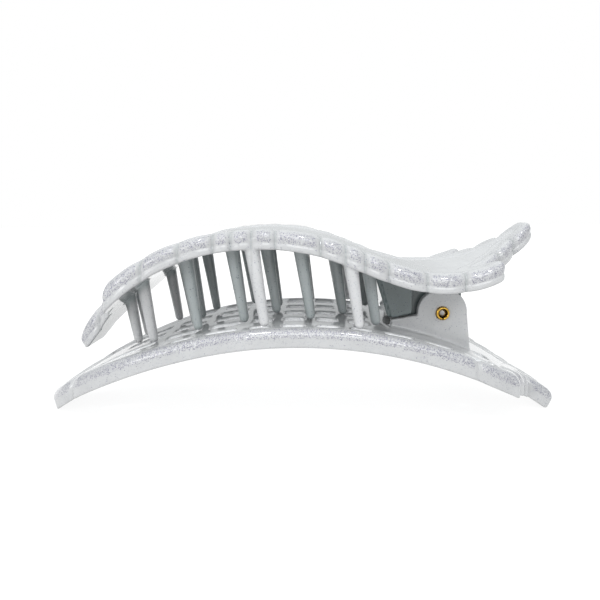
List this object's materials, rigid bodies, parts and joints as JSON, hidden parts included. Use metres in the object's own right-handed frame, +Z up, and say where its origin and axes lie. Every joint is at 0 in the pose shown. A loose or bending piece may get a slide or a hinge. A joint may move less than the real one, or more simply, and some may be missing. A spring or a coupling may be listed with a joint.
{
  "type": "hair clip",
  "caption": "Flat sprung hair clip: a bead-edged S-shaped upper jaw with long teeth closes on an arched, slotted lower jaw, and thumb ends past the hinge open it.",
  "frame": {"origin": "middle of the clip's length and width, on the surface that the two ends of its arched lower jaw stand on", "axes": "+X along the clip towards the hinge and thumb end, -X towards the biting front, +Y across the clip along the hinge pin, +Z up"},
  "size_m": [0.106, 0.0382, 0.0383],
  "materials": {
    "upper_plastic": "pale silver with fine glitter",
    "lower_plastic": "pale silver with fine glitter",
    "sleeve_brass": "polished",
    "pin_steel": "drawn",
    "spring_steel": "drawn wire"
  },
  "bodies": {
    "lower": {"lower_jaw": "lower_plastic", "hinge_sleeve": "sleeve_brass", "hinge_pin": "pin_steel", "torsion_spring": "spring_steel"},
    "upper": {"upper_jaw": "upper_plastic"}
  },
  "joints": [
    {"name": "jaw_hinge", "type": "hinge", "parent": "lower", "child": "upper", "pos_m": [0.0284, 0, 0.02053], "axis": [0, 1, 0], "range_deg": [0, 40], "stiffness_Nm_per_rad": 0.15, "springref_deg": -51.57, "deforming": ["torsion_spring"]}
  ]
}
